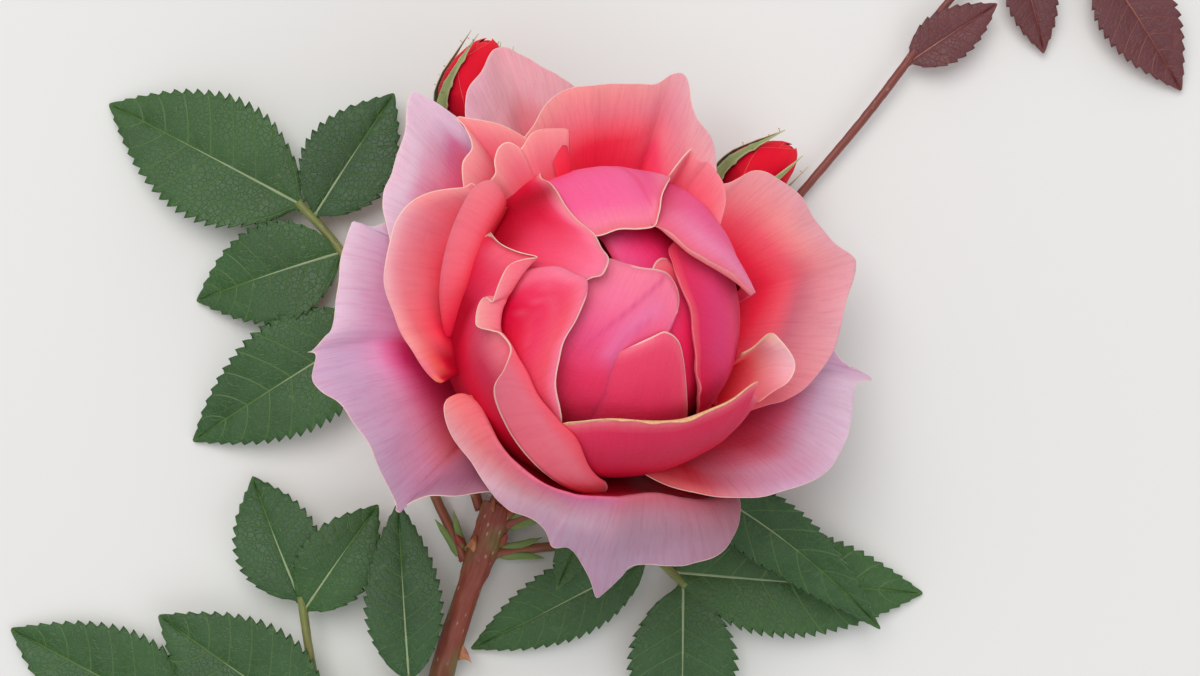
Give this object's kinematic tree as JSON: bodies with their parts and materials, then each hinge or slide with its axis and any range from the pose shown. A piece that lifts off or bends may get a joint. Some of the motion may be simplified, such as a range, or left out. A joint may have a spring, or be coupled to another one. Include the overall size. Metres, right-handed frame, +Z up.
{
  "type": "cut rose stem",
  "caption": "Cut garden rose lying down: a wide open double bloom turned up on its neck, with closed buds, a thin cane and leaves of toothed leaflets.",
  "frame": {"origin": "centre of the bounding box at the level of the floor the rose lies on", "axes": "+Z up, -Y out of the cane's flat cut end, +X to the right of the cane seen from above with the cut end nearest"},
  "size_m": [0.2498, 0.2567, 0.0821],
  "materials": {
    "petal_pink": "soft matte petals",
    "bud_red": "satin petals",
    "leaf_green": "satin leaf",
    "leaf_red": "glossy young leaf",
    "stem_green": "smooth green stem",
    "cane_brown": "smooth brown bark"
  },
  "bodies": {
    "root": {"bloom": "petal_pink", "calyx": "stem_green", "neck": "stem_green", "cane": "cane_brown", "left_bud": "bud_red", "left_bud_shoot": "stem_green", "right_bud": "bud_red", "right_bud_shoot": "stem_green", "left_leaf": "leaf_green", "lower_left_leaf": "leaf_green", "far_left_leaf": "leaf_green", "upper_leaf": "leaf_green", "right_leaf": "leaf_green", "curled_leaf": "leaf_green", "young_leaf": "leaf_red"}
  },
  "joints": []
}
